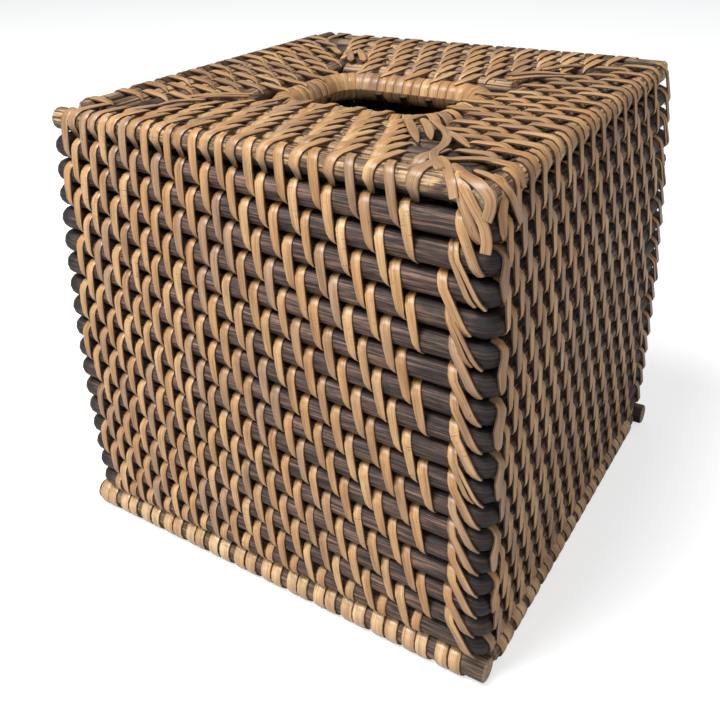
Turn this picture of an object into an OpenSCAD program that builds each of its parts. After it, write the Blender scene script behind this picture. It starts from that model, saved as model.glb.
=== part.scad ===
// Square tissue box cover of lashed rattan: core rods lie in courses round four walls and a flat
// top, and strips of rattan peel bind each rod to the next. It is open underneath, so that it
// slips down over a cube tissue box, and the tissues are drawn through the opening in the top.

/* [Body] */
// Width over the rods that edge the top
body_w = 142; // [130:1:160]
// How far the foot of each wall stands out past the top
wall_flare = 3.3; // [0:0.1:5]
// How far each wall bellies out at half its height
wall_bulge = 1.9; // [0:0.1:3]

/* [Core rods] */
// Diameter of the rods in the walls and top
rod_d = 6.6; // [5.8:0.1:7.4]
// Radius of each corner bend, along the middle of the rod
bend_r = 4; // [3.8:0.1:8]
// Diameter of the four foot rods
foot_rod_d = 7.6; // [6.6:0.1:8.6]
// Diameter of the rod round the opening
opening_rod_d = 8; // [6.6:0.1:9]
// Radius of the opening's corners, along the middle of its rod
opening_bend_r = 13.3; // [10:0.1:16]
// How far the opening's rod has sunk below the rods round it
opening_drop = 1.5; // [0:0.1:2.5]
// How far the cut ends of the front and back edge rods stand out past the top, or stop short of
// its outer edge where the value is below 0
edge_overrun = -1.7; // [-2:0.1:4]
// How far the cut ends of the side edge rods stand out past the walls
side_edge_overrun = 0.4; // [0:0.1:4]
// How far the cut ends of the front and back foot rods stand out past the walls
foot_overrun = 2.6; // [0:0.1:4]
// Slant of the cut that ends each edge rod at the next one
edge_cut_angle = 35; // [10:1:45]
// Width of the slit that is left at a scarf joint
scarf_slit = 0.3; // [0.2:0.05:0.5]
// Angle of a scarf joint to the rod
scarf_angle = 18; // [14:1:30]

/* [Peel] */
// Width of a lashing peel
peel_w = 3.1; // [2.5:0.1:3.6]
// Width of a peel that wraps the foot
foot_peel_w = 3.8; // [2.5:0.1:4.4]
// Thickness of a lashing peel
peel_t = 0.6; // [0.4:0.05:0.9]
// Thickness of the peel that wraps the foot and the opening
wrap_t = 0.8; // [0.6:0.05:1.1]
// Room between a peel and the rod that it binds
peel_clear = 0.05; // [0.03:0.01:0.1]
// Room between two peels that lie side by side
peel_gap = 0.2; // [0.1:0.05:0.4]
// Spare height in the slot between two wall courses
course_slack = 0.22; // [0:0.01:0.8]
// Lean of the wall lashing, its lower end to the right
wall_lean = 4; // [0:0.5:14]
// Lean of the top lashing, its outer end to the left
top_lean = 3; // [0:0.5:8]
// Turns of peel fanned round each corner of the opening
corner_turns = 6; // [4:1:7]
// How much of the foot wraps is worn flat underneath
foot_flat = 0.5; // [0.3:0.05:0.6]

/* [Hidden] */
$fn = 32;

rod_color = [0.24, 0.18, 0.16];
edge_rod_color = [0.42, 0.30, 0.20];
peel_color = [0.76, 0.58, 0.38];
foot_peel_color = [0.85, 0.70, 0.48];

// Courses in a wall, the edge rod counted and the foot rod not, and closed rings inside the edge
last_course = 18;
top_rings = 4;

// The four sides, numbered as one walks round the cover; the front and back are the long ones
FRONT = 0;
RIGHT = 1;
BACK = 2;
LEFT = 3;
function is_long(side) = side % 2 == 0;

rod_r = rod_d / 2;
foot_r = foot_rod_d / 2;
opening_r = opening_rod_d / 2;

// How far a lashing and a wrap stand off their rods
lash = peel_clear + peel_t;
wrap = peel_clear + wrap_t;

// One peel passes through each slot between two rods. Each row of lashing keeps a lane of its
// own along the rod, and every third lane is free for the same row's next turn. Under and inside
// the edge rods, and over the foot rods, peels of two directions cross, so the slot holds both.
slot = lash + peel_clear;
top_pitch = rod_d + slot;
edge_pitch = rod_d + lash + slot;
course_pitch = rod_d + slot + course_slack;
foot_pitch = foot_r + wrap + slot + rod_r;
lane = peel_w / cos(wall_lean) + peel_gap;
lanes = 3;
turn_spacing = lanes * lane;

foot_z = foot_r + wrap - foot_flat;
edge_z = foot_z + foot_pitch + (last_course - 2) * course_pitch + edge_pitch;
edge_half = body_w / 2 - rod_r;

// Height of the middle of a course, counted down from the edge rod, and how far out it lies
function course_z(k) = k == 1 ? edge_z
    : k > last_course ? foot_z : edge_z - edge_pitch - (k - 2) * course_pitch;
function course_half(k) =
    let (down = (edge_z - course_z(k)) / (edge_z - foot_z))
    edge_half + wall_flare * down + 4 * wall_bulge * down * (1 - down);
function ring_half(k) = edge_half - edge_pitch - (k - 1) * top_pitch;

foot_half = course_half(last_course + 1);
filler_y = ring_half(top_rings + 1);
filler_half = ring_half(top_rings) - rod_r - lash - slot;
opening_z = edge_z - opening_drop;
opening_half_x = ring_half(top_rings) - rod_r - lash - wrap - opening_r;
opening_half_y = filler_y - rod_r - lash - wrap - opening_r;
opening_bend = min(opening_bend_r, opening_half_y - lane);

// Turns what is drawn for the front side to another side
module on_side(side) {
    rotate(90 * side) children();
}

// A rod along X, from one end to the other
module straight_rod(x0, x1, y, z, d) {
    translate([x0, y, z]) rotate([0, 90, 0]) cylinder(d = d, h = x1 - x0);
}

// A quarter bend with half of the straight run on either side of it
module elbow(reach_x, reach_y, d, r) {
    translate([r, 0, 0]) rotate([90, 0, 0]) cylinder(d = d, h = reach_y);
    translate([0, r, 0]) rotate([0, -90, 0]) cylinder(d = d, h = reach_x);
    rotate_extrude(angle = 90) translate([r, 0]) circle(d = d);
}

// A rod bent round four corners into one flat ring. Its four elbows lap at the middle of each side.
elbow_lap = scarf_slit;
module bent_ring(half_x, half_y, z, d, r) {
    for (corner = [0:3]) {
        across = corner % 2 == 0 ? half_x - r : half_y - r;
        along = corner % 2 == 0 ? half_y - r : half_x - r;
        rotate(90 * corner) translate([across, along, z])
            elbow(across + elbow_lap, along + elbow_lap, d, r);
    }
}

// The long slanting slit where the two ends of a ring's rod meet, at the back
module scarf(x, y, z, d) {
    reach = d / sin(scarf_angle) + d;
    translate([x, y, z]) rotate(scarf_angle) cube([reach, scarf_slit, 2 * d], center = true);
}

// Scarf joints step along the back in turn, so that no two neighbours lie in line
scarf_places = 5;
function scarf_x(k, half) = (k % scarf_places / (scarf_places - 1) - 1 / 2) * (half - 2 * bend_r);

module closed_ring(k, half, z) {
    difference() {
        bent_ring(half, half, z, rod_d, bend_r);
        scarf(scarf_x(k, half), half, z, rod_d);
    }
}

module wall_course(k) {
    color(rod_color) closed_ring(k, course_half(k), course_z(k));
}

module top_ring(k) {
    color(rod_color) closed_ring(k, ring_half(k), edge_z);
}

// Edge rods lie like a pinwheel: the left end runs past the corner, and the right end is cut on
// a slant and stops against the side of the next rod
edge_stop = edge_half - rod_r - slot;
edge_short_stop = edge_stop - rod_d * tan(edge_cut_angle);
module edge_rod(side) {
    overrun = is_long(side) ? edge_overrun : side_edge_overrun;
    color(edge_rod_color) on_side(side) difference() {
        straight_rod(-body_w / 2 - overrun, edge_stop, -edge_half, edge_z, rod_d);
        translate([edge_stop, -edge_half + rod_r, edge_z]) rotate(-edge_cut_angle)
            translate([0, -2 * rod_d, -rod_d]) cube([2 * rod_d, 4 * rod_d, 2 * rod_d]);
    }
}

// The front and back foot rods run past the walls, and the side ones stop between them
foot_gap = foot_r + wrap + slot;
function foot_left(side) = is_long(side) ? -foot_half - rod_r - foot_overrun : -foot_half + foot_gap;
function foot_right(side) = is_long(side) ? foot_half + rod_r : foot_half - foot_gap;
module foot_rod(side) {
    color(edge_rod_color) on_side(side)
        straight_rod(foot_left(side), foot_right(side), -foot_half, foot_z, foot_rod_d);
}

// Short straight rods that fill the top between the fourth ring and the long sides of the opening
module filler_rod(side) {
    color(rod_color) on_side(side) straight_rod(-filler_half, filler_half, -filler_y, edge_z, rod_d);
}

module opening_rod() {
    color(edge_rod_color) difference() {
        bent_ring(opening_half_x, opening_half_y, opening_z, opening_rod_d, opening_bend);
        scarf(0, opening_half_y, opening_z, opening_rod_d);
    }
}

// Outline round two rods whose middles lie a distance apart, each with its own radius. Its straight
// sides lie a hair inside the tangents, so that they meet the round ends at clean corners.
side_share = 0.998;
module round_two(apart, ra, rb) {
    tilt = asin((ra - rb) / apart);
    a = side_share * ra;
    b = side_share * rb;
    circle(ra);
    translate([0, apart]) circle(rb);
    polygon([[a * cos(tilt), a * sin(tilt)], [b * cos(tilt), apart + b * sin(tilt)],
        [-b * cos(tilt), apart + b * sin(tilt)], [-a * cos(tilt), a * sin(tilt)]]);
}

// A band of peel round two rods, drawn along X with the second rod towards +Y
module band(apart, ra, rb, width) {
    rotate([90, 0, 90]) linear_extrude(width, center = true) rotate(-90) difference() {
        round_two(apart, ra + lash, rb + lash);
        round_two(apart, ra + peel_clear, rb + peel_clear);
    }
}

// One closed turn of peel round two rods of the front side, each rod given as [y, z, radius]. A
// leaning turn is a wider band, cut along two slanting edges so that it still hugs both rods.
module turn(x, rod_a, rod_b, lean) {
    dy = rod_b[0] - rod_a[0];
    dz = rod_b[1] - rod_a[1];
    apart = norm([dy, dz]);
    translate([x, rod_a[0], rod_a[1]]) rotate([atan2(dz, dy), 0, 0])
        if (lean == 0) {
            band(apart, rod_a[2], rod_b[2], peel_w);
        } else {
            reach = apart / 2 + 2 * max(rod_a[2], rod_b[2]);
            sway = reach * tan(lean);
            edge = peel_w / cos(lean) / 2;
            intersection() {
                band(apart, rod_a[2], rod_b[2], 2 * (edge + sway));
                translate([0, apart / 2, -reach]) linear_extrude(2 * reach)
                    polygon([[-sway - edge, -reach], [-sway + edge, -reach],
                        [sway + edge, reach], [sway - edge, reach]]);
            }
        }
}

// A row of turns at the common spacing, as many as fit between the two ends of the run
module turn_row(shift, run, rod_a, rod_b, lean) {
    room = run - peel_w;
    first = ceil((-room - shift) / turn_spacing);
    last = floor((room - shift) / turn_spacing);
    for (j = [first:1:last]) turn(shift + j * turn_spacing, rod_a, rod_b, lean);
}

function wall_rod(k) = k > last_course ? [-foot_half, foot_z, foot_r] : [-course_half(k), course_z(k), rod_r];
function top_rod(k) = [k == 0 ? -edge_half : -ring_half(k), edge_z, rod_r];
opening_rod_long = [-opening_half_y, opening_z, opening_r];
opening_rod_short = [-opening_half_x, opening_z, opening_r];

// From the opening outwards each row of the top starts one lane further to the right. The front
// and back have one row more than the sides, because a filler rod lies there. A turn's place is
// that of its middle, and its two ends lie half a sway to either side.
top_half_sway = top_pitch / 2 * tan(top_lean);
function top_rows(side) = is_long(side) ? top_rings + 1 : top_rings;
function top_place(side, k) = lane - top_half_sway + (top_rows(side) - 1 - k) * (lane - 2 * top_half_sway);
module top_lashing(side) {
    color(peel_color) on_side(side) for (k = [0:top_rows(side) - 1]) {
        run = k < top_rings ? ring_half(k + 1) - bend_r : min(filler_half, ring_half(k) - bend_r);
        turn_row(top_place(side, k) % turn_spacing, run, top_rod(k), top_rod(k + 1), top_lean);
    }
}

// The wall's first row binds the edge rod to the right of the top's last row. Every row leans, and
// starts one lane to the right of the foot of the row above it. The last binds the foot rod.
function wall_half_sway(k) =
    (k == 1 ? edge_pitch : k == last_course ? foot_pitch : course_pitch) / 2 * tan(wall_lean);
function wall_start(side) = top_place(side, 0) - top_half_sway + lane + (rod_r + lash) * tan(wall_lean);
function wall_place(side, k) = k == 1 ? wall_start(side) + wall_half_sway(1)
    : wall_place(side, k - 1) + wall_half_sway(k - 1) + lane + wall_half_sway(k);
module wall_lashing(side) {
    color(peel_color) on_side(side) for (k = [1:last_course - 1]) {
        run = k == 1 ? edge_short_stop : course_half(k) - bend_r;
        turn_row(wall_place(side, k) % turn_spacing, run, wall_rod(k), wall_rod(k + 1), wall_lean);
    }
}

// A closed turn of peel round one straight rod
module plain_turn(x, y, z, r, width) {
    translate([x - width / 2, y, z]) rotate([0, 90, 0]) difference() {
        cylinder(r = r + wrap, h = width);
        translate([0, 0, -width]) cylinder(r = r + peel_clear, h = 3 * width);
    }
}

// The foot's peels: the turns that bind the foot rod to the last course, and a plain turn between
// each two, all worn flat where the cover stands on them
module foot_wrap(side) {
    bind_place = wall_place(side, last_course);
    run = min(foot_right(side), course_half(last_course) - bend_r);
    room = run - foot_peel_w / 2;
    plain_place = (bind_place + wall_half_sway(last_course) + turn_spacing / 2) % turn_spacing;
    first = ceil((-room - plain_place) / turn_spacing);
    last = floor((room - plain_place) / turn_spacing);
    color(foot_peel_color) on_side(side) difference() {
        union() {
            turn_row(bind_place % turn_spacing, run, wall_rod(last_course), wall_rod(last_course + 1),
                wall_lean);
            for (j = [first:1:last])
                plain_turn(plain_place + j * turn_spacing, -foot_half, foot_z, foot_r, foot_peel_w);
        }
        translate([-body_w, -body_w, -foot_z]) cube([2 * body_w, 2 * body_w, foot_z]);
    }
}

// The opening's peels, one to a lane: every third binds the opening's rod to the next rod, and
// the others go round the opening's rod alone
module opening_run(side) {
    run = (is_long(side) ? opening_half_x : opening_half_y) - opening_bend;
    inner = is_long(side) ? opening_rod_long : opening_rod_short;
    outer = top_rod(top_rows(side));
    last = floor((run - peel_w / 2) / lane);
    for (j = [-last:last])
        if (j % lanes == 0) turn(j * lane, outer, inner, 0);
        else plain_turn(j * lane, inner[0], inner[1], opening_r, peel_w);
}

// Plain turns fanned round one corner of the opening
module opening_fan() {
    fan_angle = 90 / corner_turns;
    slit_angle = peel_gap / (opening_bend - opening_r - wrap) * 180 / PI;
    for (j = [0:corner_turns - 1]) rotate(j * fan_angle + slit_angle / 2)
        rotate_extrude(angle = fan_angle - slit_angle) translate([opening_bend, 0]) difference() {
            circle(opening_r + wrap);
            circle(opening_r + peel_clear);
        }
}

module opening_wrap() {
    straight_x = opening_half_x - opening_bend;
    straight_y = opening_half_y - opening_bend;
    color(peel_color) {
        for (side = [FRONT, RIGHT, BACK, LEFT]) on_side(side) opening_run(side);
        for (corner = [0:3]) rotate(90 * corner)
            translate([corner % 2 == 0 ? straight_x : straight_y,
                corner % 2 == 0 ? straight_y : straight_x, opening_z]) opening_fan();
    }
}

edge_rod(FRONT);  // front_edge_rod
edge_rod(RIGHT);  // right_edge_rod
edge_rod(BACK);  // back_edge_rod
edge_rod(LEFT);  // left_edge_rod
wall_course(2);  // wall_course_02
wall_course(3);  // wall_course_03
wall_course(4);  // wall_course_04
wall_course(5);  // wall_course_05
wall_course(6);  // wall_course_06
wall_course(7);  // wall_course_07
wall_course(8);  // wall_course_08
wall_course(9);  // wall_course_09
wall_course(10);  // wall_course_10
wall_course(11);  // wall_course_11
wall_course(12);  // wall_course_12
wall_course(13);  // wall_course_13
wall_course(14);  // wall_course_14
wall_course(15);  // wall_course_15
wall_course(16);  // wall_course_16
wall_course(17);  // wall_course_17
wall_course(18);  // wall_course_18
foot_rod(FRONT);  // front_foot_rod
foot_rod(RIGHT);  // right_foot_rod
foot_rod(BACK);  // back_foot_rod
foot_rod(LEFT);  // left_foot_rod
top_ring(1);  // top_ring_1
top_ring(2);  // top_ring_2
top_ring(3);  // top_ring_3
top_ring(4);  // top_ring_4
filler_rod(FRONT);  // front_filler_rod
filler_rod(BACK);  // back_filler_rod
opening_rod();
opening_wrap();
wall_lashing(FRONT);  // front_wall_lashing
wall_lashing(RIGHT);  // right_wall_lashing
wall_lashing(BACK);  // back_wall_lashing
wall_lashing(LEFT);  // left_wall_lashing
top_lashing(FRONT);  // front_top_lashing
top_lashing(RIGHT);  // right_top_lashing
top_lashing(BACK);  // back_top_lashing
top_lashing(LEFT);  // left_top_lashing
foot_wrap(FRONT);  // front_foot_wrap
foot_wrap(RIGHT);  // right_foot_wrap
foot_wrap(BACK);  // back_foot_wrap
foot_wrap(LEFT);  // left_foot_wrap
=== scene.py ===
# The looks of a square tissue box cover of lashed rattan, built round its solids: rods of rattan
# core in courses, and strips of rattan peel that bind each rod to the next.
import math
import random

import bpy
import numpy as np
from mathutils import Matrix, Vector, noise


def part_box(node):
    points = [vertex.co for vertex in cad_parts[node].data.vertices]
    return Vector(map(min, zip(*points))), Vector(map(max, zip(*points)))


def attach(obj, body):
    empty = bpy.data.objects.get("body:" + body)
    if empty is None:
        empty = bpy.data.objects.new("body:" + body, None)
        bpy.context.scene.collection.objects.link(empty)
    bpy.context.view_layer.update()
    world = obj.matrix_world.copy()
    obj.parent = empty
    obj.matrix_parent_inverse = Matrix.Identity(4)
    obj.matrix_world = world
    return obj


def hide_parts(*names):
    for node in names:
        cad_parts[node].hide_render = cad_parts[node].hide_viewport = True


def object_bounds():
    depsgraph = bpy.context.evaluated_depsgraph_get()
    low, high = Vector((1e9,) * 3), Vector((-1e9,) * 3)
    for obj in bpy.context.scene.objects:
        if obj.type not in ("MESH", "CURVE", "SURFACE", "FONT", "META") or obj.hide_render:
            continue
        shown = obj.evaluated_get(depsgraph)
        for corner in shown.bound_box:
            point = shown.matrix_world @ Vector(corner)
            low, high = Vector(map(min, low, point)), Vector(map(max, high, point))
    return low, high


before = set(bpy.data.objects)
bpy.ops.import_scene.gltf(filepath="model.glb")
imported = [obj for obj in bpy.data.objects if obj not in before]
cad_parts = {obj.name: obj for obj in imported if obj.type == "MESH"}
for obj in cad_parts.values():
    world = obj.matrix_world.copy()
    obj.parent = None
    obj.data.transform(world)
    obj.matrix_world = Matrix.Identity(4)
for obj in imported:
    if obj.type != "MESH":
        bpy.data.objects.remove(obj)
cad_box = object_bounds()


# The view: the cover is seen from its front right corner and a little from above, close by, so
# that the near corner looks large and the far walls run together.
view_round = math.radians(33.13)
view_down = math.radians(25.41)
view_roll = math.radians(-1.69)
view_distance = 0.3118
view_aim = Vector((-0.01774, 0.01139, 0.06945))
lens_mm = 42.12
view_shift = -0.1194

back = Vector((math.sin(view_round) * math.cos(view_down),
               -math.cos(view_round) * math.cos(view_down), math.sin(view_down)))
level = Vector((math.cos(view_round), math.sin(view_round), 0))
rise = back.cross(level)
right = level * math.cos(view_roll) + rise * math.sin(view_roll)
up = rise * math.cos(view_roll) - level * math.sin(view_roll)
lens = bpy.data.cameras.new("view")
lens.lens = lens_mm
lens.sensor_width = 36
lens.shift_y = view_shift
lens.clip_start = 0.01
camera = bpy.data.objects.new("view", lens)
turned = Matrix((right, up, back)).transposed().to_4x4()
camera.matrix_world = Matrix.Translation(view_aim + back * view_distance) @ turned
bpy.context.collection.objects.link(camera)
bpy.context.scene.camera = camera


# The studio: a pale floor under the cover, a wide soft lamp above its front, weaker ones before
# it and on its right, a little light from all round, and white behind it for the camera.
floor_size = 6.0
floor_pale = 0.62
scene = bpy.context.scene
scene.view_settings.view_transform = "Standard"


def soft_lamp(name, place, target, size, watts):
    """A round lamp that faces its target."""
    lamp = bpy.data.lights.new(name, "AREA")
    lamp.shape = "DISK"
    lamp.size = size
    lamp.energy = watts
    holder = bpy.data.objects.new(name, lamp)
    holder.location = place
    holder.rotation_euler = (Vector(target) - Vector(place)).to_track_quat("-Z", "Y").to_euler()
    bpy.context.collection.objects.link(holder)


middle = (0, 0, 0.07)
soft_lamp("lamp_above", (-0.30, -0.50, 1.15), middle, 0.6, 17)
soft_lamp("lamp_right", (1.1, -0.45, 0.7), middle, 0.8, 3.1)
soft_lamp("lamp_front", (-0.6, -1.2, 0.40), middle, 0.7, 4)

world = bpy.data.worlds.new("studio")
scene.world = world
world.use_nodes = True
tree = world.node_tree
tree.nodes.clear()
path = tree.nodes.new("ShaderNodeLightPath")
seen = tree.nodes.new("ShaderNodeMath")
seen.operation = "MAXIMUM"
tree.links.new(path.outputs["Is Camera Ray"], seen.inputs[0])
tree.links.new(path.outputs["Is Transmission Ray"], seen.inputs[1])
white = tree.nodes.new("ShaderNodeBackground")
white.inputs["Color"].default_value = (1, 1, 1, 1)
soft = tree.nodes.new("ShaderNodeBackground")
soft.inputs["Color"].default_value = (0.93, 0.96, 1.0, 1)
soft.inputs["Strength"].default_value = 0.30
pick = tree.nodes.new("ShaderNodeMixShader")
tree.links.new(seen.outputs[0], pick.inputs["Fac"])
tree.links.new(soft.outputs[0], pick.inputs[1])
tree.links.new(white.outputs[0], pick.inputs[2])
tree.links.new(pick.outputs[0], tree.nodes.new("ShaderNodeOutputWorld").inputs["Surface"])

bpy.ops.object.select_all(action="DESELECT")
bpy.ops.mesh.primitive_plane_add(size=floor_size)
floor = bpy.context.object
floor.name = "floor"
paint = bpy.data.materials.new("pale_floor")
paint.use_nodes = True
tree = paint.node_tree
tree.nodes.clear()
matt = tree.nodes.new("ShaderNodeBsdfDiffuse")
matt.inputs["Color"].default_value = (floor_pale, floor_pale, floor_pale, 1)
glow = tree.nodes.new("ShaderNodeEmission")
path = tree.nodes.new("ShaderNodeLightPath")
lift = tree.nodes.new("ShaderNodeMath")
lift.operation = "MULTIPLY"
lift.inputs[1].default_value = floor_pale
tree.links.new(path.outputs["Is Camera Ray"], lift.inputs[0])
tree.links.new(lift.outputs[0], glow.inputs["Strength"])
both = tree.nodes.new("ShaderNodeAddShader")
tree.links.new(matt.outputs[0], both.inputs[0])
tree.links.new(glow.outputs[0], both.inputs[1])
tree.links.new(both.outputs[0], tree.nodes.new("ShaderNodeOutputMaterial").inputs["Surface"])
floor.data.materials.append(paint)


# The wall courses: seventeen rods of round rattan core, stained dark brown, each bent round four
# corners into a ring. Its two ends are cut to a long slant and meet at the back.
FRONT, RIGHT, BACK, LEFT = range(4)
SIDE_NAMES = ("front", "right", "back", "left")
Z = Vector((0, 0, 1))
rod_sides = 14
rod_sway = 0.00012
rod_swell = 0.015
# without a seed the noise starts from the clock, and the rods would sway differently each run
sway_seed = 1796056810
# the courses turn tighter than the other rods, and are squeezed against each other on the inside
bend_radius = 0.0040
course_bend = 0.0016
course_swell = 1.032
course_squeeze = 1.10
bend_ease = 0.0018
bend_pinch = 0.95
bend_steps = 5
side_steps = 8
# how dark the painted shade is in a bend and a little before it
bend_shade = 0.90
ease_shade = 0.55
same_place = 1e-6
scarf_gap = 0.0003
scarf_slant = 2.0
scarf_places = 5
tone_spread = 0.05
plain_white = (1.0, 1.0, 1.0)


def only(*picked):
    """Selects these objects and nothing else."""
    bpy.ops.object.select_all(action="DESELECT")
    for piece in picked:
        piece.select_set(True)
    bpy.context.view_layer.objects.active = picked[0]


def drawn_out(steps):
    """Extrudes the face that is being edited into a length of so many steps of 1 along Z."""
    for _ in range(steps):
        bpy.ops.mesh.extrude_region_move(TRANSFORM_OT_translate={"value": (0, 0, 1)})
    bpy.ops.mesh.select_all(action="SELECT")
    bpy.ops.mesh.normals_make_consistent(inside=False)
    bpy.ops.object.mode_set(mode="OBJECT")


def rod_stock(steps):
    """A straight length of rod, its radius and its steps all 1, to be bent into the real ones."""
    bpy.ops.object.select_all(action="DESELECT")
    bpy.ops.mesh.primitive_circle_add(vertices=rod_sides, radius=1, fill_type="NGON")
    bpy.ops.object.mode_set(mode="EDIT")
    bpy.ops.mesh.select_all(action="SELECT")
    drawn_out(steps)
    stock = bpy.context.object
    only(stock)
    bpy.ops.object.shade_smooth_by_angle(angle=math.radians(50))
    return stock


def lengths_along(points):
    """Distance of each point from the first, measured along the points."""
    gaps = np.linalg.norm(np.diff(points, axis=0), axis=1)
    return np.concatenate([[0.0], np.cumsum(gaps)])


def laid(stock, name, points, first, second, wide, thick, tone, start=0.0, slant=0.0, cut=False,
         crest=(0, 1), inner=None, squeezed=1.0, painted_shade=0.0):
    """A copy of the stock with its steps carried to points. Its X follows first and its Y second,
    and inner is how far it may reach inward. Each point keeps its place along and across the
    fibres, its share of the length, the width and the height to its crest, and how dark its
    painted shade is, for the finish."""
    mesh = stock.data.copy()
    piece = bpy.data.objects.new(name, mesh)
    bpy.context.collection.objects.link(piece)
    flat = np.empty(len(mesh.vertices) * 3)
    mesh.vertices.foreach_get("co", flat)
    flat = flat.reshape(-1, 3)
    step = np.rint(flat[:, 2]).astype(int)
    x = flat[:, 0] * np.broadcast_to(wide, len(points))[step]
    y = flat[:, 1] * np.broadcast_to(thick, len(points))[step]
    if inner is not None:
        y = np.maximum(y, -inner[step])
        x = np.where(y < 0, x * squeezed, x)
    along = lengths_along(points)
    heading = np.gradient(points, axis=0)
    heading /= np.linalg.norm(heading, axis=1)[:, None]
    ends = np.zeros(len(points))
    ends[[0, -1]] = 1
    shift = x * slant * ends[step]
    placed = points[step] + first[step] * x[:, None] + second[step] * y[:, None]
    placed += heading[step] * shift[:, None]
    mesh.vertices.foreach_set("co", placed.ravel())
    fibre = np.stack([along[step] + shift + start, x, y], axis=1)
    side = flat[:, 0] / np.abs(flat[:, 0]).max()
    high = (flat[:, :2] @ np.array(crest)) / np.abs(flat[:, 1]).max()
    share = np.stack([along[step] / along[-1], side, high], axis=1)
    for attribute_name, values in (("fibre", fibre), ("share", share)):
        layer = mesh.attributes.new(attribute_name, "FLOAT_VECTOR", "POINT")
        layer.data.foreach_set("vector", values.ravel())
    painted_shade = np.broadcast_to(painted_shade, len(points))
    for attribute_name, values in (("tone", np.full(len(step), float(tone))),
                                   ("painted_shade", painted_shade[step].astype(float)),
                                   ("cut", ends[step] * float(cut))):
        mesh.attributes.new(attribute_name, "FLOAT", "POINT").data.foreach_set("value", values)
    mesh.update()
    return piece


def joined(name, pieces, finish):
    """Joins like pieces into one, with one finish."""
    only(*pieces)
    if len(pieces) > 1:
        bpy.ops.object.join()
    piece = pieces[0]
    piece.name = name
    piece.data.name = name
    piece.data.materials.clear()
    piece.data.materials.append(finish)
    return piece


def ring_frame(half_x, half_y, bend, side, u):
    """Middle of a ring's rod and the way out from it, u along a side from that side's middle."""
    here, across = (half_x, half_y) if side % 2 == 0 else (half_y, half_x)
    straight = here - bend
    round_it = math.copysign(max(abs(u) - straight, 0.0) / bend, u)
    out = Vector((math.sin(round_it), -math.cos(round_it), 0))
    middle = Vector((max(-straight, min(straight, u)), -(across - bend), 0)) + out * bend
    turn = Matrix.Rotation(math.pi / 2 * side, 3, "Z")
    return turn @ middle, turn @ out


def ring_places(half_x, half_y, bend, scarf):
    """Sides and places for a ring's steps, once round from the scarf at the back, with one step
    a little before each bend and one a little behind it."""
    quarter = math.pi / 4 * bend
    places = []
    for side in (BACK, LEFT, FRONT, RIGHT, BACK):
        straight = (half_x if side % 2 == 0 else half_y) - bend
        far = straight - bend_ease
        run = [-straight, *np.linspace(-far, far, side_steps - 1), straight]
        if side == BACK and not places:
            run = [*np.linspace(scarf, far, side_steps // 2), straight]
        elif side == BACK:
            run = [-straight, *np.linspace(-far, scarf - scarf_gap, side_steps // 2)]
        if places:
            for step in range(1, bend_steps):
                round_it = step / bend_steps * 2 * quarter
                before = last_straight + round_it
                if round_it <= quarter:
                    places.append((last_side, before))
                else:
                    places.append((side, -straight - (2 * quarter - round_it)))
        places += [(side, u) for u in run]
        last_side, last_straight = side, straight
    return places


def scarf_place(count, half):
    """Where the ends of a ring meet along the back, well away from those of the rings beside it."""
    return (count % scarf_places / (scarf_places - 1) - 0.5) * (half - 2 * bend_radius)


def wandering(points, seed, amount):
    """The same points, each a little out of place, as a rod that was bent by hand lies."""
    moved = []
    for index, point in enumerate(points):
        push = noise.noise_vector(Vector((index * 0.7, seed * 3.1, 0.5)))
        moved.append(Vector(point) + push * amount)
    return np.array(moved)


def bent_ring(stock, name, half_x, half_y, z, radius, bend, scarf, tone, seed, crest=(0, 1),
              squeezed=1.0):
    """One rod bent into a ring. Its crest, which the painted shade leaves lit, faces up or out. On its
    inner side it may be squeezed wider, and in its bends it is painted nearly black as shade."""
    places = ring_places(half_x, half_y, bend, scarf)
    frames = [ring_frame(half_x, half_y, bend, side, u) for side, u in places]
    before = [max((half_x if side % 2 == 0 else half_y) - bend - abs(u), 0) for side, u in places]
    points = wandering([middle + Z * z for middle, out in frames], seed, rod_sway)
    outs = np.array([out for middle, out in frames])
    ups = np.tile(np.array(Z), (len(frames), 1))
    draw = random.Random(seed)
    wide = radius * np.array([1 - rod_swell * draw.random() for _ in frames])
    wide[-1] = wide[0]
    before = np.array(before)
    # painted shade: near black in each bend, a little less just before it
    painted_shade = np.where(before < same_place, bend_shade, 0.0)
    painted_shade[np.abs(before - bend_ease) < same_place] = ease_shade
    return laid(stock, name, points, ups, outs, wide, wide, tone, start=seed * 0.7,
                slant=scarf_slant, crest=crest, inner=bend_pinch * bend + before,
                squeezed=squeezed, painted_shade=painted_shade)


def node(tree, kind, inputs=None, **settings):
    """A shader node with its settings, and with values or links for its inputs."""
    made = tree.nodes.new("ShaderNode" + kind)
    for key, value in settings.items():
        setattr(made, key, value)
    for key, value in (inputs or {}).items():
        if isinstance(value, bpy.types.NodeSocket):
            tree.links.new(value, made.inputs[key])
        else:
            made.inputs[key].default_value = value
    return made


def shades(tree, amount, *stops):
    """Colours that follow an amount from 0 to 1, each stop a place and a colour."""
    ramp = node(tree, "ValToRGB", {"Fac": amount})
    line = ramp.color_ramp
    while len(line.elements) < len(stops):
        line.elements.new(0.5)
    for element, (place, colour) in zip(line.elements, stops):
        element.position = place
        element.color = (*colour, 1)
    return ramp.outputs["Color"]


def grain(tree, scales, detail, roughness):
    """Noise drawn out along the fibres, with its counts per metre along, across and outward."""
    fibre = node(tree, "Attribute", attribute_name="fibre").outputs["Vector"]
    drawn = node(tree, "VectorMath", {0: fibre, 1: scales}, operation="MULTIPLY").outputs["Vector"]
    cloud = node(tree, "TexNoise", {"Vector": drawn, "Scale": 1.0, "Detail": detail,
                                    "Roughness": roughness})
    return cloud.outputs["Fac"]


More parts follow.
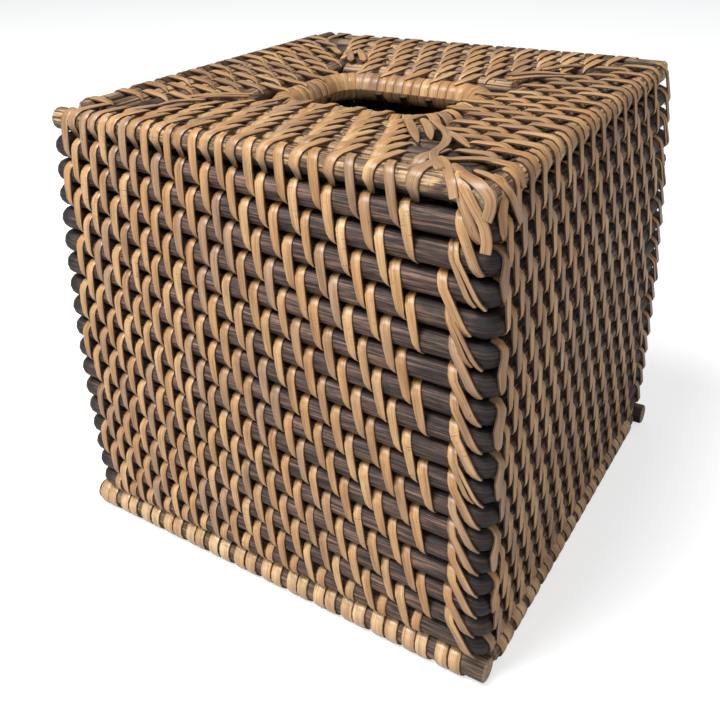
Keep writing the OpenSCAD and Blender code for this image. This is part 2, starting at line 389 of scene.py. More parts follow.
def blend(tree, mode, amount, under, over):
    """One colour laid over another."""
    under, over = ((*c, 1) if isinstance(c, tuple) else c for c in (under, over))
    mix = node(tree, "MixRGB", {"Fac": amount, "Color1": under, "Color2": over}, blend_type=mode)
    return mix.outputs["Color"]


def between(tree, value, low, high):
    """0 below low, 1 above high, and smooth between."""
    made = node(tree, "MapRange", {"Value": value, "From Min": low, "From Max": high},
                interpolation_type="SMOOTHSTEP")
    return made.outputs["Result"]


def attribute(tree, name):
    """One of the numbers that laid() keeps at each point."""
    return node(tree, "Attribute", attribute_name=name).outputs["Fac"]


def share_part(tree, axis):
    """X is the share of the length, Y of the half width and Z of the height to the crest."""
    share = node(tree, "Attribute", attribute_name="share").outputs["Vector"]
    return node(tree, "SeparateXYZ", {"Vector": share}).outputs[axis]


def unsigned(tree, value):
    """A value without its sign."""
    return node(tree, "Math", {0: value}, operation="ABSOLUTE").outputs[0]


def product(tree, value, factor):
    """One value times another."""
    return node(tree, "Math", {0: value, 1: factor}, operation="MULTIPLY").outputs[0]


def rod_finish(name, dark, plain, streak, scuff, scuffed, end, slot_shade=(0.10, 0.085, 0.085)):
    """Stained rattan core: fine lengthwise pores and ribs, painted shade on the flanks in the slots
    between two rods and on the side turned in, and the stain worn off in places on the crest."""
    material = bpy.data.materials.new(name)
    material.use_nodes = True
    tree = material.node_tree
    tree.nodes.clear()
    ribs = grain(tree, (75.0, 2300.0, 2300.0), 5.0, 0.75)
    broad = grain(tree, (34.0, 480.0, 480.0), 3.0, 0.6)
    patch = grain(tree, (75.0, 220.0, 220.0), 3.0, 0.6)
    body = shades(tree, ribs, (0.40, dark), (0.49, plain), (0.60, streak))
    shade = shades(tree, broad, (0.36, (0.38, 0.36, 0.36)), (0.64, (1.45, 1.40, 1.36)))
    body = blend(tree, "MULTIPLY", 1.0, body, shade)
    rub = node(tree, "Math", {0: patch, 1: attribute(tree, "tone")}, operation="ADD").outputs[0]
    rub = node(tree, "Math", {0: rub, 1: product(tree, ribs, 0.45)}, operation="ADD").outputs[0]
    worn = between(tree, rub, 1.02 - scuffed, 1.20 - scuffed)
    body = blend(tree, "MIX", worn, body, blend(tree, "MULTIPLY", 1.0, scuff, stain_lines(tree)))
    # painted shade: darker away from the crest, on the flanks in the slots between rods and on the
    # side turned in
    high = between(tree, share_part(tree, "Z"), 0.05, 0.72)
    slot_shading = shades(tree, high, (0.0, slot_shade), (1.0, plain_white))
    body = blend(tree, "MULTIPLY", 1.0, body, slot_shading)
    pith = shades(tree, grain(tree, (1.0, 1500.0, 1500.0), 2.0, 0.5),
                  (0.35, tuple(part * 0.45 for part in end)), (0.6, end))
    body = blend(tree, "MIX", attribute(tree, "cut"), body, pith)
    body = darkened(tree, body)
    bump = node(tree, "Bump", {"Height": ribs, "Strength": 0.8, "Distance": 0.0003})
    gloss = node(tree, "MapRange", {"Value": broad, "To Min": 0.40, "To Max": 0.60})
    shader = node(tree, "BsdfPrincipled", {"Base Color": body, "Roughness": gloss.outputs["Result"],
                                           "Normal": bump.outputs["Normal"]})
    shader.inputs["Specular IOR Level"].default_value = 0.4
    node(tree, "OutputMaterial", {"Surface": shader.outputs[0]})
    return material


def darkened(tree, body):
    """The same colour, near black where painted shade is laid on."""
    stain = shades(tree, attribute(tree, "painted_shade"), (0.0, plain_white), (1.0, (0.10, 0.09, 0.09)))
    return blend(tree, "MULTIPLY", 1.0, body, stain)


def stain_lines(tree):
    """Dark lines along a worn rod and short ones across it, where the stain stays in its pores
    and nicks."""
    lines = grain(tree, (20.0, 1300.0, 1300.0), 3.0, 0.6)
    nicks = grain(tree, (1400.0, 240.0, 240.0), 2.0, 0.5)
    along = shades(tree, lines, (0.41, (0.16, 0.10, 0.08)), (0.52, plain_white))
    across = shades(tree, nicks, (0.30, (0.20, 0.13, 0.10)), (0.38, plain_white))
    return blend(tree, "MULTIPLY", 1.0, along, across)


def stands_for(piece, slot, *nodes):
    """Rides the piece on the cover, in place of these nodes."""
    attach(piece, "root")
    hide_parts(*nodes)


noise.seed_set(sway_seed)
dark_rod = rod_finish("dark_rod", (0.013, 0.009, 0.008), (0.068, 0.041, 0.034),
                      (0.250, 0.148, 0.100), (0.42, 0.27, 0.14), 0.05, (0.30, 0.20, 0.12))
# a ring has as many steps whatever its size
ring_stock = rod_stock(len(ring_places(0.07, 0.07, bend_radius, 0.0)) - 1)
courses = []
for k in range(2, 19):
    name = f"wall_course_{k:02d}"
    low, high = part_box(name)
    radius = (high.z - low.z) / 2
    half = high.x - radius
    tone = random.Random(k).uniform(-tone_spread, tone_spread)
    ring = bent_ring(ring_stock, f"course_{k:02d}", half, half, (low.z + high.z) / 2,
                     radius * course_swell, course_bend, scarf_place(k, half), tone, k,
                     squeezed=course_squeeze)
    ring = joined(f"course_{k:02d}", [ring], dark_rod)
    stands_for(ring, "dark_rod", name)
    courses.append((half, (low.z + high.z) / 2, radius))


# The top's rods: four rings inside each other and two short straight rods, stained like the
# courses, the rings rubbed golden along their upper side by turns more and less. The top has sunk
# a little towards the opening, where hands go in.
top_rod = rod_finish("top_rod", (0.045, 0.028, 0.022), (0.155, 0.096, 0.070), (0.34, 0.215, 0.140),
                     (0.54, 0.35, 0.19), 0.41, (0.42, 0.29, 0.17), (0.26, 0.22, 0.21))
ring_tones = (0.12, -0.10, 0.10, -0.08)
straight_steps = 16
straight_stock = rod_stock(straight_steps)
cut_bevel = 0.0004
cut_narrow = 0.88
# how far from its middle the top starts to sink, over what length at the left and right and at
# the front and back, and how deep
sunk_from = 0.0625
sunk_along = 0.0307
sunk_across = 0.0380
sunk_deep = 0.0027


def dished(piece):
    """Lowers a piece of the top by how far the top has sunk there."""
    flat = np.empty(len(piece.data.vertices) * 3)
    piece.data.vertices.foreach_get("co", flat)
    flat = flat.reshape(-1, 3)
    inward = np.minimum((sunk_from - abs(flat[:, 0])) / sunk_along,
                        (sunk_from - abs(flat[:, 1])) / sunk_across)
    flat[:, 2] -= np.clip(inward, 0, 1) * sunk_deep
    piece.data.vertices.foreach_set("co", flat.ravel())
    piece.data.update()
    return piece


def straight_rod(stock, name, low, high, axis, radius, tone, seed, crest=(1, 0)):
    """A straight rod between the ends of its box, with its two cut ends a little rounded off."""
    start, end = low[axis], high[axis]
    places = np.concatenate([[start], np.linspace(start + cut_bevel, end - cut_bevel,
                                                  straight_steps - 1), [end]])
    middle = (low + high) / 2
    middle.z = low.z + radius
    points = []
    for place in places:
        point = middle.copy()
        point[axis] = place
        points.append(point)
    points = wandering(points, seed, rod_sway)
    points[:, axis] = places
    ups = np.tile(np.array(Z), (len(points), 1))
    heading = Vector((0, 0, 0))
    heading[axis] = 1
    seconds = np.tile(np.array(heading.cross(Z)), (len(points), 1))
    draw = random.Random(seed)
    wide = radius * np.array([1 - rod_swell * draw.random() for _ in points])
    wide[[0, -1]] *= cut_narrow
    return laid(stock, name, points, ups, seconds, wide, wide, tone, start=seed * 0.9, cut=True,
                crest=crest)


top_rings = []
for k in range(1, 5):
    name = f"top_ring_{k}"
    low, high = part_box(name)
    radius = (high.z - low.z) / 2
    half = high.x - radius
    ring = bent_ring(ring_stock, f"top_rod_{k}", half, half, (low.z + high.z) / 2, radius,
                     bend_radius, scarf_place(k, half), ring_tones[k - 1], 30 + k, (1, 0))
    stands_for(dished(joined(f"top_rod_{k}", [ring], top_rod)), "top_rod", name)
    top_rings.append((half, (low.z + high.z) / 2, radius))
for side in (FRONT, BACK):
    name = f"{SIDE_NAMES[side]}_filler_rod"
    low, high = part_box(name)
    radius = (high.z - low.z) / 2
    rod = straight_rod(straight_stock, name, low, high, 0, radius, 0.0, 40 + side)
    stands_for(dished(joined(f"top_filler_{SIDE_NAMES[side]}", [rod], top_rod)), "top_rod", name)
filler_low, filler_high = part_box("front_filler_rod")


# The edge rods: four straight rods round the top like a pinwheel, each cut off at its right end
# against the side of the next. Their stain is rubbed through to golden core.
edge_finish = rod_finish("scuffed_rod", (0.040, 0.023, 0.015), (0.15, 0.092, 0.055),
                         (0.34, 0.22, 0.12), (0.64, 0.42, 0.22), 0.36, (0.62, 0.47, 0.27))
edge_cut = math.tan(math.radians(35))
for side in range(4):
    name = f"{SIDE_NAMES[side]}_edge_rod"
    low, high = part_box(name)
    radius = (high.z - low.z) / 2
    axis = side % 2
    outward = 0.6 if side in (FRONT, RIGHT) else -0.6
    rod = straight_rod(straight_stock, name, low, high, axis, radius, 0.0, 50 + side, (0.8, outward))
    # the right end is cut on a slant, its outer side the shorter one
    turn = Matrix.Rotation(-math.pi / 2 * side, 3, "Z")
    right_end = max((turn @ low).x, (turn @ high).x)
    outer = min((turn @ low).y, (turn @ high).y)
    for vertex in rod.data.vertices:
        place = turn @ vertex.co
        if place.x > right_end - 2 * cut_bevel:
            place.x -= (2 * radius - (place.y - outer)) * edge_cut
            vertex.co = turn.inverted() @ place
    stands_for(joined(f"edge_rod_{SIDE_NAMES[side]}", [rod], edge_finish), "scuffed_rod", name)
edge_low, edge_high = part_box("front_edge_rod")
edge_radius = (edge_high.z - edge_low.z) / 2
edge = (-(edge_low.y + edge_high.y) / 2, (edge_low.z + edge_high.z) / 2, edge_radius)


# The foot rods: four thicker straight rods that the walls stand on. The front and back ones run
# past the corners and show their cut ends.
foot_finish = rod_finish("foot_rod", (0.040, 0.026, 0.019), (0.15, 0.10, 0.066),
                         (0.31, 0.21, 0.13), (0.42, 0.30, 0.18), 0.12, (0.45, 0.32, 0.19))
for side in range(4):
    name = f"{SIDE_NAMES[side]}_foot_rod"
    low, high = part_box(name)
    foot_radius = (high.z - low.z) / 2
    outward = 0.8 if side in (FRONT, RIGHT) else -0.8
    rod = straight_rod(straight_stock, name, low, high, side % 2, foot_radius, 0.0, 60 + side,
                       (0.6, outward))
    stands_for(joined(f"foot_rod_{SIDE_NAMES[side]}", [rod], foot_finish), "foot_rod", name)
foot_low, foot_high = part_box("front_foot_rod")
foot = (-(foot_low.y + foot_high.y) / 2, (foot_low.z + foot_high.z) / 2, foot_radius)


# The opening's rod: one thicker rod bent round the opening, all but hidden by its wrapping.
opening_bend = 0.0133
low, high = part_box("opening_rod")
opening_radius = (high.z - low.z) / 2
opening_x = high.x - opening_radius
opening_y = high.y - opening_radius
opening_z = (low.z + high.z) / 2
ring = bent_ring(ring_stock, "opening_core", opening_x, opening_y, opening_z, opening_radius,
                 opening_bend, 0.0, 0.0, 70)
stands_for(dished(joined("opening_core", [ring], top_rod)), "top_rod", "opening_rod")


# The wall lashing: strips of honey coloured rattan peel, shiny side out. Each binds two courses:
# it comes out of the slot above one rod, runs down over two and dives to a point into the slot
# below, then climbs slanting up the inside to its next turn. At the end of a row it is cut off.
peel_wide = 0.00285
peel_thick = 0.00056
peel_clear = 0.00003
peel_loose = 0.0001
peel_round = 0.33
inner_lift = 0.0008
# how dark the painted shade is where a strip climbs the inside
climb_shade = 0.92
# each strip is cut from somewhere along a cane of so many metres, and so has its own grain
cane_long = 50
# a corner so many metres away is never reached
far_off = 10.0


def peel_stock(steps, thick):
    """A straight length of peel with its upper side rounded off, 1 wide and its steps 1 long."""
    bpy.ops.object.select_all(action="DESELECT")
    bpy.ops.mesh.primitive_plane_add(size=1)
    strip = bpy.context.object
    bpy.ops.object.mode_set(mode="EDIT")
    bpy.ops.transform.translate(value=(0, 0.5, 0))
    bpy.ops.mesh.select_all(action="DESELECT")
    bpy.ops.mesh.select_mode(type="VERT")
    bpy.ops.object.mode_set(mode="OBJECT")
    for corner in strip.data.vertices:
        corner.select = corner.co.y > 0.5
    bpy.ops.object.mode_set(mode="EDIT")
    bpy.ops.mesh.bevel(offset=peel_round, segments=2, affect="VERTICES")
    bpy.ops.mesh.select_all(action="SELECT")
    drawn_out(steps)
    only(strip)
    for vertex in strip.data.vertices:
        vertex.co.y *= thick
    bpy.ops.object.shade_smooth_by_angle(angle=math.radians(50))
    return strip


# Where the steps of a turn lie: on the first rod, on the second or halfway, how far round it, how
# far right of the first crown, how much more per metre right of the side's middle, and the share
# of the width.
turn_steps = ((0, 180, -0.0006, -0.015, 0.80), (0, 150, -0.0005, -0.013, 0.95),
              (0, 118, -0.0002, -0.006, 1.0), (0, 95, 0.0, 0.0, 1.0), (0.5, 90, 0.0003, 0.009, 0.95),
              (1, 92, 0.0008, 0.0155, 0.78), (1, 70, 0.0011, 0.0180, 0.56),
              (1, 52, 0.0014, 0.0200, 0.32), (1, 34, 0.0016, 0.0220, 0.16))
# A climb up the inside, an end that is cut off, and a short turn round one rod above the foot: the
# same, but with one share of the lean in place of the two distances.
climb_steps = ((1, -60, 0.12, 0.6), (0.5, -90, 0.50, 0.95), (0, -120, 0.86, 0.9),
               (0, -180, 1.00, 0.8))
end_steps = ((0, 180, -0.28, 0.9), (0, 150, -0.20, 1.0), (0, 120, -0.10, 1.0), (0, 95, 0.0, 1.0),
             (0.5, 90, 0.36, 1.0), (1, 90, 0.70, 1.0), (1, 68, 0.86, 1.0), (1, 46, 1.00, 1.0))
short_steps = ((0, 180, 0.00, 0.9), (0, 150, 0.00, 1.0), (0, 120, 0.05, 1.0), (0, 90, 0.15, 1.0),
               (0, 65, 0.30, 1.0), (0, 40, 0.50, 1.0), (0, 15, 0.75, 1.0), (0, -20, 1.00, 0.9))


# The lanes that the turns lie in, in millimetres, by their count and its square and cube: they lie
# closer together at the left of each side. Each row is set off from the one above by a share of a
# lane, and each side has its own share at its third row.
lane_terms = (9.341, 0.1661, 0.00443)
lane_counts = range(-18, 12)
row_shift = 0.3974
side_shifts = (0.204, 0.46, 0.83, 0.62)


def lane(count):
    """Place of the first crown of a turn."""
    return (lane_terms[0] * count + lane_terms[1] * count ** 2 + lane_terms[2] * count ** 3) / 1000


def full_turn(crown, following):
    """Steps of a turn that goes on to the next one, which has its own crown."""
    steps = [(which, degrees, crown + base + growth * crown, narrow)
             for which, degrees, base, growth, narrow in turn_steps]
    tip = steps[-1][2]
    top = following + turn_steps[0][2] + turn_steps[0][3] * following
    return steps + [(which, degrees, tip + (top - tip) * share, narrow)
                    for which, degrees, share, narrow in climb_steps]


def slanting(steps, start, lean):
    """The steps of a strip from start, each moved right by its share of the lean."""
    return [(which, degrees, start + lean * share, narrow) for which, degrees, share, narrow in steps]


def turn_frames(rod_a, rod_b, place, steps, lift=0.0, loose=0.0):
    """Points, ways across, ways outward and shares of the width of one turn round two rods. Each
    rod is (how far out, height, radius), and place gives the middle line and the way out at u."""
    a, b = np.array(rod_a[:2]), np.array(rod_b[:2])
    travel = (b - a) / np.linalg.norm(b - a)
    outside = np.array([-travel[1], travel[0]])
    rows = []
    for which, degrees, u, narrow in steps:
        angle = math.radians(degrees)
        radius = rod_a[2] + (rod_b[2] - rod_a[2]) * which
        inner = -180 < degrees < -30
        stand = radius + peel_clear + (inner_lift if inner else lift)
        if 85 < degrees < 95:
            stand += loose
        way = math.cos(angle) * travel + math.sin(angle) * outside
        if which == 0.5:
            way = outside * math.copysign(1, degrees)
        flat = a + (b - a) * which + way * stand
        middle, out = place(u)
        rows.append((middle + out * flat[0] + Z * flat[1], out * way[0] + Z * way[1], narrow))
    points = np.array([row[0] for row in rows])
    outward = np.array([row[1] for row in rows])
    return facing(points, outward, np.array([row[2] for row in rows]))


def facing(points, outward, narrow):
    """Ways across and outward that are square to the way the peel runs."""
    heading = np.gradient(points, axis=0)
    across = np.cross(outward, heading)
    across /= np.linalg.norm(across, axis=1)[:, None]
    outward = np.cross(heading, across)
    outward /= np.linalg.norm(outward, axis=1)[:, None]
    return points, across, outward, narrow


def wall_place(side, half):
    """Where a side lies at u, so far from the cover's middle line, and the way out: it bends round
    the corners."""
    def place(u):
        middle, out = ring_frame(half, half, course_bend, side, u)
        return middle - out * half, out
    return place


def flat_place(side):
    """The same for strips that run straight on and don't follow the corners."""
    return wall_place(side, far_off)


def lanes(shift, left, right, draw, wobble):
    """Crowns of a row's turns between the two ends of its run."""
    crowns = [lane(count + shift) for count in lane_counts]
    return [crown + draw.uniform(-wobble, wobble) for crown in crowns if left <= crown <= right]


def strip(stock, frames, wide, draw, tone=None, climbs=False):
    """One length of peel, with its own width and its own place along the cane for its grain. Where
    it climbs the inside it is painted dark as shade, like the rods there."""
    points, across, outward, narrow = frames
    tone = draw.betavariate(2.0, 2.0) if tone is None else tone
    painted_shade = np.zeros(len(points))
    if climbs:
        painted_shade[-len(climb_steps):] = climb_shade
    return laid(stock, "strip", points, across, outward, wide * narrow, 1.0, tone,
                start=draw.uniform(0, cane_long), painted_shade=painted_shade)


def pressed(piece):
    """Keeps a piece within the cover's own height and width."""
    for vertex in piece.data.vertices:
        for axis in range(3):
            vertex.co[axis] = min(max(vertex.co[axis], cad_box[0][axis]), cad_box[1][axis])
    return piece


def peel_finish(name, honey, pale, greyed, line, gloss):
    """Rattan peel: a hard glossy skin with fine fibres, painted shade on its two sides, small dark
    specks, and fine cracks across the driest strips."""
    material = bpy.data.materials.new(name)
    material.use_nodes = True
    tree = material.node_tree
    tree.nodes.clear()
    tone = attribute(tree, "tone")
    fine = grain(tree, (60.0, 3800.0, 3800.0), 3.0, 0.65)
    broad = grain(tree, (60.0, 500.0, 300.0), 3.0, 0.55)
    specks = grain(tree, (700.0, 2600.0, 2600.0), 2.0, 0.5)
    cracks = grain(tree, (2600.0, 160.0, 160.0), 2.0, 0.6)
    body = shades(tree, tone, (0.15, greyed), (0.45, honey), (0.85, pale))
    # the lower part of each strip turns greyer, partly the peel's own colour and partly painted shade
    reach = share_part(tree, "X")
    low = product(tree, between(tree, reach, 0.28, 0.62), 0.6)
    body = blend(tree, "MIX", low, body, greyed)
    clouds = shades(tree, broad, (0.32, (0.66, 0.60, 0.55)), (0.68, (1.18, 1.18, 1.18)))
    body = blend(tree, "MULTIPLY", 1.0, body, clouds)
    fibres = shades(tree, fine, (0.34, (0.55, 0.48, 0.42)), (0.52, plain_white),
                    (0.72, (1.15, 1.15, 1.12)))
    body = blend(tree, "MULTIPLY", 0.85, body, fibres)
    body = blend(tree, "MIX", product(tree, between(tree, specks, 0.69, 0.74), 0.8), body, line)
    dry = product(tree, between(tree, cracks, 0.60, 0.66), between(tree, tone, 0.78, 0.86))
    body = blend(tree, "MIX", product(tree, dry, 0.8), body, line)
    # painted shade: the strip's two sides darken towards the line colour
    side = between(tree, unsigned(tree, share_part(tree, "Y")), 0.86, 0.99)
    body = blend(tree, "MIX", product(tree, side, 0.92), body, line)
    body = darkened(tree, body)
    bump = node(tree, "Bump", {"Height": fine, "Strength": 0.5, "Distance": 0.00015})
    shader = node(tree, "BsdfPrincipled", {"Base Color": body, "Normal": bump.outputs["Normal"]})
    shader.inputs["Roughness"].default_value = gloss
    shader.inputs["Specular IOR Level"].default_value = 0.5
    shader.inputs["Coat Weight"].default_value = 0.15
    shader.inputs["Coat Roughness"].default_value = 0.22
    node(tree, "OutputMaterial", {"Surface": shader.outputs[0]})
    return material


peel = peel_finish("peel", (0.500, 0.267, 0.098), (0.615, 0.375, 0.170), (0.400, 0.242, 0.130),
                   (0.060, 0.030, 0.020), 0.38)
turn_stock = peel_stock(len(turn_steps) + len(climb_steps) - 1, peel_thick)
end_stock = peel_stock(len(end_steps) - 1, peel_thick)
wall_rods = [edge] + courses + [foot]
# a row keeps this far from the left corner, and the right side's rows all begin close to it
left_free = (0.0036, 0.0010, 0.0032, 0.0032)
corner_room = 0.0060
# where the cut strip at the right end of a row starts, how far it runs and how near the corner
top_row_ends = (0.0620, 0.0630, 0.0620, 0.0595, 0.0620)
end_room = 0.0066
end_run = 0.0064
end_free = 0.0006
left_side_free = 0.0043
before_end = (0.0052, 0.0085)
before_first_end = 0.0115
end_lift = 0.0001
# rows whose cut strip is split lengthwise, each part's place and share of the width, and rows
# whose cut strip is dry and grey
split_rows = (2, 4, 9)
split_parts = ((-0.0008, 0.52), (0.0007, 0.42))
split_spread = 0.8
split_rise = 0.3
dry_rows = (5, 11)
dry_tone = 0.02
# the last row binds one course to the foot rod with short turns
last_row = len(wall_rods) - 2
short_lean = 0.0008
wall_wobble = 0.0002
turn_widths = (0.88, 1.07)
end_widths = (0.82, 0.96)

for side in range(4):
    strips = []
    for k in range(last_row + 1):
        rod_a, rod_b = wall_rods[k], wall_rods[k + 1]
        draw = random.Random(1000 * side + k)
        half = (rod_a[0] + rod_b[0]) / 2
        place = wall_place(side, half)
        last = top_row_ends[k] if k < len(top_row_ends) else half - end_room - draw.uniform(0, 0.001)
        finish = min(half - end_free, last + end_run)
        if side == LEFT:
            finish -= left_side_free
            last -= left_side_free
        before = before_first_end if k == 0 else draw.uniform(*before_end)
        crowns = lanes(side_shifts[side] + row_shift * (k - 2), left_free[side] - half, last - before,
                       draw, wall_wobble)
        if side == RIGHT and crowns[0] > corner_room - half:
            crowns.insert(0, left_free[side] + draw.uniform(0, 0.0006) - half)
        for index, crown in enumerate(crowns):
            wide = peel_wide * draw.uniform(*turn_widths)
            if k == last_row:
                frames = turn_frames(rod_a, rod_b, place, slanting(short_steps, crown, short_lean))
                strips.append(strip(end_stock, frames, wide, draw))
                continue
            following = crowns[index + 1] if index + 1 < len(crowns) else last
            frames = turn_frames(rod_a, rod_b, place, full_turn(crown, following),
                                 loose=draw.uniform(0, peel_loose))
            strips.append(strip(turn_stock, frames, wide, draw, climbs=True))
        if k == last_row:
            continue
        place = flat_place(side)
        tone = dry_tone if k in dry_rows else None
        if k in split_rows:
            for aside, part in split_parts:
                steps = slanting(end_steps, last + aside, finish - last + aside * split_spread)
                lift = end_lift + max(aside, 0) * split_rise
                frames = turn_frames(rod_a, rod_b, place, steps, lift=lift)
                strips.append(strip(end_stock, frames, peel_wide * part, draw, tone=tone))
        else:
            steps = slanting(end_steps, last, finish - last)
            frames = turn_frames(rod_a, rod_b, place, steps, lift=end_lift)
            wide = peel_wide * draw.uniform(*end_widths)
            strips.append(strip(end_stock, frames, wide, draw, tone=tone))
    lashing = pressed(joined(f"lashing_{SIDE_NAMES[side]}", strips, peel))
    stands_for(lashing, "peel", f"{SIDE_NAMES[side]}_wall_lashing")


# The top's lashing: the same peel in rows that run out from the opening, each turn over two rods,
# from a point on the inner one. The outermost row goes over the edge rod, the innermost one binds
# the opening's rod. Strips fan out from the opening's corners, and loose ones hide the near corner.
top_lean = -0.0029
top_sway = 0.0003
top_shift = -0.3100
top_shifts = tuple(shift - side_shifts[FRONT] - 0.8408 for shift in side_shifts)
top_wobble = 0.0003
top_widths = (1.02, 1.24)
corner_extra = 0.0030
rim_free = 0.0055
rim_tuck = 0.4
wrap_thick = 0.0007
top_steps = ((0, 150, -0.05, 0.15), (0, 128, 0.04, 0.36), (0, 108, 0.14, 0.62), (0, 90, 0.26, 0.82),
             (0.5, 90, 0.46, 0.97), (1, 90, 0.68, 1.0), (1, 60, 0.86, 1.0), (1, 30, 0.98, 1.0),
             (1, 0, 1.00, 0.95))
# Each loose strip: its width, then places along it in millimetres and the way its shiny side faces.
UP = (0, 0, 1)
corner_strips = (
    (2.6, (58.5, -66.2, 144.3, *UP), (62.0, -70.2, 143.4, 0, -0.8, 0.6),
     (65.8, -71.9, 139.4, 0, -1, 0.1), (68.4, -72.2, 135.5, 0.1, -1, 0),
     (69.3, -72.4, 132.0, 0.2, -1, 0), (69.2, -72.6, 129.4, 0.2, -1, 0)),
    (2.7, (56.5, -63.0, 144.3, *UP), (60.5, -67.5, 144.45, 0, -0.2, 1),
     (65.5, -70.6, 144.2, 0.1, -0.6, 0.8), (69.1, -71.8, 142.1, 0.3, -0.9, 0.3),
     (69.7, -72.2, 139.8, 0.2, -1, 0), (69.0, -72.2, 136.8, 0, -1, -0.1)),
    (2.5, (62.5, -64.5, 144.2, *UP), (67.5, -67.3, 144.4, 0.3, 0, 1),
     (71.1, -67.2, 142.2, 1, -0.1, 0.4), (71.9, -65.0, 138.8, 1, 0, 0), (72.4, -62.0, 133.6, 1, 0, 0)),
    (2.6, (53.9, -60.8, 144.5, *UP), (58.6, -57.5, 144.7, *UP), (64.8, -57.3, 144.4, 0.1, 0, 1),
     (69.6, -59.0, 143.6, 0.7, 0, 0.7), (71.8, -59.8, 140.5, 1, 0, 0)),
    (2.4, (51.5, -59.6, 144.5, *UP), (55.5, -64.8, 144.4, *UP), (59.6, -70.4, 143.5, 0, -0.9, 0.5),
     (61.2, -71.8, 140.2, 0, -1, 0)),
    (2.4, (33.2, -29.0, 145.4, *UP), (43.0, -40.0, 145.3, *UP), (47.4, -50.0, 145.0, *UP),
     (48.6, -57.5, 144.7, *UP), (52.0, -63.5, 144.4, *UP), (55.5, -67.7, 144.4, 0, -0.2, 1)))
fan_strips = (
    (2.7, (26.0, -30.4, 145.4, *UP), (32.0, -38.5, 145.4, *UP), (39.5, -48.6, 144.0, *UP)),
    (2.5, (30.2, -28.8, 145.5, *UP), (36.0, -37.0, 145.5, *UP), (41.1, -44.8, 144.2, *UP)),
    (2.4, (40.5, -36.8, 145.2, *UP), (47.0, -42.2, 145.2, *UP), (52.5, -46.5, 143.9, *UP)))
tucked_start = 0.5
fan_places = 3
fan_tip = (0.9, 0.75, 0.5, 0.2)
loose_tones = (0.32, 0.62)


def through(points, count):
    """So many places on one smooth curve through the points."""
    ends = [2 * points[0] - points[1], *points, 2 * points[-1] - points[-2]]
    places = []
    for share in np.linspace(0, len(points) - 1, count):
        index = min(int(share), len(points) - 2)
        a, b, c, d = ends[index:index + 4]
        t = share - index
        bend = t * (2 * a - 5 * b + 4 * c - d + t * (3 * b - a - 3 * c + d))
        places.append(b + t / 2 * (c - a + bend))
    return np.array(places)


for side in range(4):
    strips = []
    top_rods = [edge] + top_rings
    if side % 2 == 0:
        top_rods.append((-(filler_low.y + filler_high.y) / 2, top_rings[0][1], top_rings[0][2]))
    rim_reach, rim_out = (opening_x, opening_y) if side % 2 == 0 else (opening_y, opening_x)
    top_rods.append((rim_out, opening_z, opening_radius + wrap_thick))
    place = flat_place(side)
    for k in range(len(top_rods) - 1):
        rod_a, rod_b = top_rods[k + 1], top_rods[k]
        at_rim = k == len(top_rods) - 2
        draw = random.Random(1000 * side + 500 + k)
        run = rim_reach - rim_free if at_rim else rod_a[0] - bend_radius / 2
        crowns = lanes(top_shifts[side] + top_shift * k, -run, run + corner_extra, draw, top_wobble)
        for crown in crowns:
            steps = slanting(top_steps, crown, top_lean + draw.uniform(-top_sway, top_sway))
            if at_rim:
                # the points stay on top of the opening's wrapping
                steps = [(which, degrees if which else 90 + (degrees - 90) * rim_tuck, u, narrow)
                         for which, degrees, u, narrow in steps]
            outer = steps[-1][2]
            steps += slanting(climb_steps, outer, crown - outer)
            frames = turn_frames(rod_a, rod_b, place, steps)
            wide = peel_wide * draw.uniform(*top_widths)
            strips.append(strip(turn_stock, frames, wide, draw, climbs=True))
    turned = np.array(Matrix.Rotation(math.pi / 2 * side, 3, "Z"))
    draw = random.Random(side + 40)
    for wide, *places in corner_strips + fan_strips if side == FRONT else fan_strips:
        places = [np.array(entry, dtype=float) for entry in places]
        smooth = through(places, len(turn_steps) + len(climb_steps))
        narrow = np.ones(len(smooth))
        narrow[0] = tucked_start
        if len(places) == fan_places:
            # it ends in a point like the turns
            narrow[-len(fan_tip):] = fan_tip
        frames = facing(smooth[:, :3] @ turned.T / 1000, smooth[:, 3:] @ turned.T, narrow)
        strips.append(strip(turn_stock, frames, wide / 1000, draw, tone=draw.uniform(*loose_tones)))
    lashing = joined(f"top_lashing_{SIDE_NAMES[side]}", strips, peel)
    stands_for(pressed(dished(lashing)), "peel", f"{SIDE_NAMES[side]}_top_lashing")


# The opening's wrapping: peel wound side by side round the opening's rod.
wrap_steps = 12
wrap_stock = peel_stock(wrap_steps, wrap_thick)
wrap_pitch = 0.00335
wrap_wide = 0.00325
wrap_widths = (0.97, 1.04)
wrap_lean = 0.0008


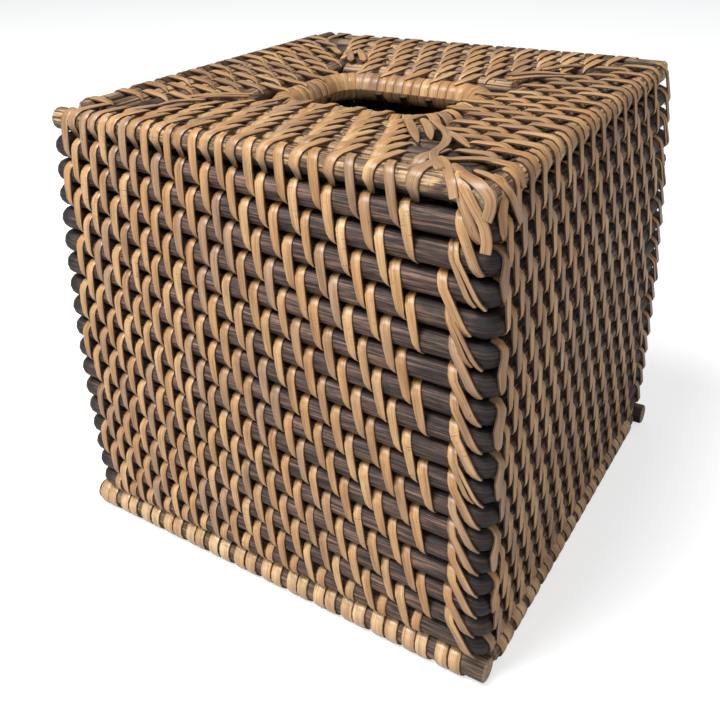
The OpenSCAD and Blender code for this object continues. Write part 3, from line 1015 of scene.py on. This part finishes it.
def hoop_frames(middle, out, radius, lean):
    """Points, ways across, ways outward and shares of the width of one turn round one rod."""
    heading = Z.cross(out)
    points, outward = [], []
    for step in range(wrap_steps + 1):
        angle = math.pi + step / wrap_steps * math.tau
        way = out * math.cos(angle) - Z * math.sin(angle)
        sway = math.sin((step / wrap_steps - 0.5) * math.pi) / 2
        points.append(middle + way * radius + heading * lean * sway)
        outward.append(way)
    points, outward = np.array(points), np.array(outward)
    points, across, _, narrow = facing(points, outward, np.ones(wrap_steps + 1))
    return points, across, outward, narrow


wraps = []
draw = random.Random(77)
for side in range(4):
    here = opening_x if side % 2 == 0 else opening_y
    reach = here - opening_bend + math.pi / 4 * opening_bend
    count = round(2 * reach / wrap_pitch)
    for index in range(count):
        u = -reach + (index + 0.5) * 2 * reach / count
        middle, out = ring_frame(opening_x, opening_y, opening_bend, side, u)
        frames = hoop_frames(middle + Z * opening_z, out, opening_radius + peel_clear, wrap_lean)
        wraps.append(strip(wrap_stock, frames, wrap_wide * draw.uniform(*wrap_widths), draw))
rim = joined("opening_wrapping", wraps, peel)
stands_for(dished(rim), "peel", "opening_wrap")


# The foot's wrapping: wider, paler and glossier peel wound round the foot rods in pairs, pressed
# flat where the cover stands.
foot_peel = peel_finish("foot_peel", (0.66, 0.42, 0.20), (0.76, 0.54, 0.30), (0.52, 0.32, 0.17),
                        (0.110, 0.060, 0.032), 0.28)
foot_wide = 0.0040
foot_widths = (0.88, 1.04)
foot_lean = 0.0024
pair_pitch = 0.0104
pair_gap = 0.0043
pair_wobble = 0.0004
for side in range(4):
    name = SIDE_NAMES[side]
    low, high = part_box(f"{name}_foot_rod")
    start, finish = low[side % 2], high[side % 2]
    draw = random.Random(900 + side)
    strips = []
    u = start + foot_wide
    count = 0
    while u < finish - foot_wide:
        middle, out = ring_frame(foot[0], foot[0], bend_radius, side, 0.0)
        heading = Z.cross(out)
        frames = hoop_frames(middle + heading * u + Z * foot[1], out, foot[2] + peel_clear, foot_lean)
        strips.append(strip(wrap_stock, frames, foot_wide * draw.uniform(*foot_widths), draw))
        u += pair_gap if count % 2 == 0 else pair_pitch - pair_gap
        u += draw.uniform(-pair_wobble, pair_wobble)
        count += 1
    band = joined(f"foot_wrapping_{name}", strips, foot_peel)
    for vertex in band.data.vertices:
        vertex.co.z = max(vertex.co.z, 0.0)
    stands_for(band, "foot_peel", f"{name}_foot_wrap")

for stock in (ring_stock, straight_stock, turn_stock, end_stock, wrap_stock):
    bpy.data.objects.remove(stock)
